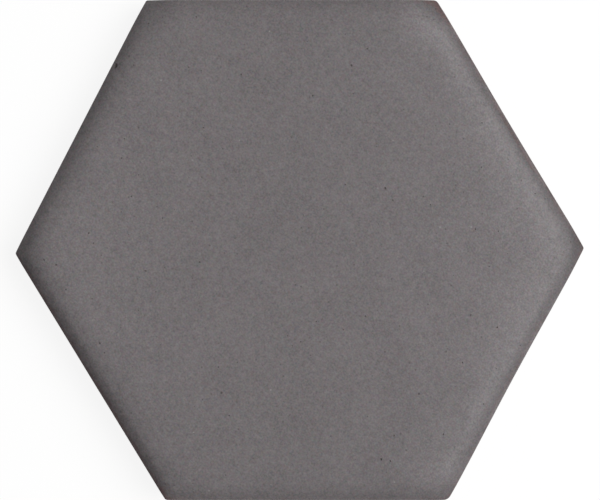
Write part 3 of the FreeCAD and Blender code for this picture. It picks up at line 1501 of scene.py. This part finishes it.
    def bare(self) -> bpy.types.Material:
        """Makes the bare clay of the back, with pale dust lying in its grooves."""
        made, sheet, shader, place = self.open("bare_fired_clay")
        colour, height = self.clay_colour(sheet, place)
        axes = sheet.node("ShaderNodeSeparateXYZ")
        sheet.feed(axes.inputs[0], place)
        sunk = sheet.maths("MULTIPLY", axes.outputs["Z"], 1 / MM)
        dust = self.line.place(sheet, place=place, distance=sunk, **asdict(self.clay.dust))["Mask"]
        dust = sheet.maths("MULTIPLY", dust, self.clay.dust_strength)
        colour = sheet.blend(dust, colour, self.clay.pale)
        rough = self.rough(sheet, height, self.clay.roughness)
        self.dress(sheet, shader, self.clay, colour, rough, height)
        return made

    def pit(self) -> bpy.types.Material:
        """Makes the rough wall of a pinhole, darkened as painted shade."""
        made, sheet, shader, place = self.open("pinhole_wall_painted_shade")
        grain = self.grain.place(sheet, place=place, **asdict(self.pit_wall.grain))
        colour = sheet.blend(1.0, self.pit_wall.colour, grain["Shade"], "MULTIPLY")
        rough = self.rough(sheet, grain["Height"], self.pit_wall.roughness)
        self.dress(sheet, shader, self.coat, colour, rough, grain["Height"])
        return made


@dataclass
class Studio:
    """The pale floor, the soft light and the camera that looks straight down.

    Its sizes are in metres, but for the lens, the sensor, the camera's place aside and the plane it looks at,
    which are in millimetres.
    """

    key_azimuth: float = 6.9
    key_elevation: float = 50.6
    key_distance: float = 1.9
    key_radius: float = 0.95
    key_share: float = 0.94
    ambient: float = 0.155
    camera_height: float = 0.9980
    camera_aside: float = 0.075
    lens: float = 200.0
    sensor: float = 36.0
    focus_plane: float = 10.7
    floor_glow: float = 0.89
    floor_seen: float = 0.12
    floor_pale: float = 0.5
    floor_roughness: float = 0.9
    floor_size: float = 8.0

    def build(self) -> None:
        """Sets up the floor, the world, the lamp and the camera."""
        self.floor()
        self.world()
        self.key_light()
        self.camera()
        bpy.context.scene.view_settings.view_transform = "Standard"

    @staticmethod
    def seen(sheet: Sheet) -> tuple[Socket, Socket]:
        """Tells camera rays, and all rays that show the background, from those that only light the tile."""
        path = sheet.node("ShaderNodeLightPath").outputs
        mirrored = sheet.maths("MAXIMUM", path["Is Camera Ray"], path["Is Glossy Ray"])
        return path["Is Camera Ray"], sheet.maths("MAXIMUM", mirrored, path["Is Transmission Ray"])

    def floor(self) -> None:
        """Lays the pale floor, which shows white to the camera and keeps the tile's shadow."""
        put_down()
        bpy.ops.mesh.primitive_plane_add(size=self.floor_size)
        floor = bpy.context.object
        floor.name = "studio_floor"
        made = bpy.data.materials.new("studio_floor")
        made.use_nodes = True
        sheet = Sheet(made.node_tree)
        shader = made.node_tree.nodes["Principled BSDF"]
        shader.inputs["Roughness"].default_value = self.floor_roughness
        shader.inputs["Specular IOR Level"].default_value = 0.0
        camera, shown = self.seen(sheet)
        tone = sheet.blend(camera, (self.floor_pale,) * 3, (self.floor_seen,) * 3)
        sheet.feed(shader.inputs["Base Color"], tone)
        shader.inputs["Emission Color"].default_value = (1, 1, 1, 1)
        sheet.feed(shader.inputs["Emission Strength"], sheet.maths("MULTIPLY", shown, self.floor_glow))
        floor.data.materials.append(made)

    def world(self) -> None:
        """Fills the room with a soft even light, and shows white behind the floor."""
        world = bpy.data.worlds.new("studio")
        bpy.context.scene.world = world
        world.use_nodes = True
        sheet = Sheet(world.node_tree)
        background = world.node_tree.nodes["Background"]
        _, shown = self.seen(sheet)
        background.inputs["Color"].default_value = (1, 1, 1, 1)
        sheet.feed(background.inputs["Strength"], sheet.spread(shown, 0.0, 1.0, self.ambient, 1.0))

    def key_light(self) -> None:
        """Hangs one broad round lamp far to the right, a little above the tile's long diagonal."""
        azimuth = math.radians(self.key_azimuth)
        elevation = math.radians(self.key_elevation)
        level = math.cos(elevation)
        direction = Vector((level * math.cos(azimuth), level * math.sin(azimuth), math.sin(elevation)))
        data = bpy.data.lights.new("key_lamp", "AREA")
        data.shape = "DISK"
        data.size = 2 * self.key_radius
        data.energy = self.key_share * math.pi**2 * self.key_distance**2 / math.sin(elevation)
        lamp = bpy.data.objects.new("key_lamp", data)
        lamp.location = direction * self.key_distance
        lamp.rotation_mode = "QUATERNION"
        lamp.rotation_quaternion = direction.to_track_quat("Z", "Y")
        lamp.visible_camera = False
        bpy.context.scene.collection.objects.link(lamp)

    def camera(self) -> None:
        """Hangs the camera straight above the tile, with the tile's upper side at the top of the picture."""
        data = bpy.data.cameras.new("camera")
        data.sensor_width = self.sensor
        data.lens = self.lens
        camera = bpy.data.objects.new("camera", data)
        camera.location = (self.camera_aside * MM, 0, self.focus_plane * MM + self.camera_height)
        bpy.context.scene.collection.objects.link(camera)
        bpy.context.scene.camera = camera


def main() -> None:
    """Builds the studio and the tile."""
    logging.basicConfig(level=logging.INFO, format="%(message)s")
    Studio().build()
    tile = HexagonTile().build()
    LOG.info("%s: %d vertices, %d faces", tile.name, len(tile.data.vertices), len(tile.data.polygons))
    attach(tile, "root")
    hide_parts("hexagon_tile")


if __name__ == "__main__":
    main()
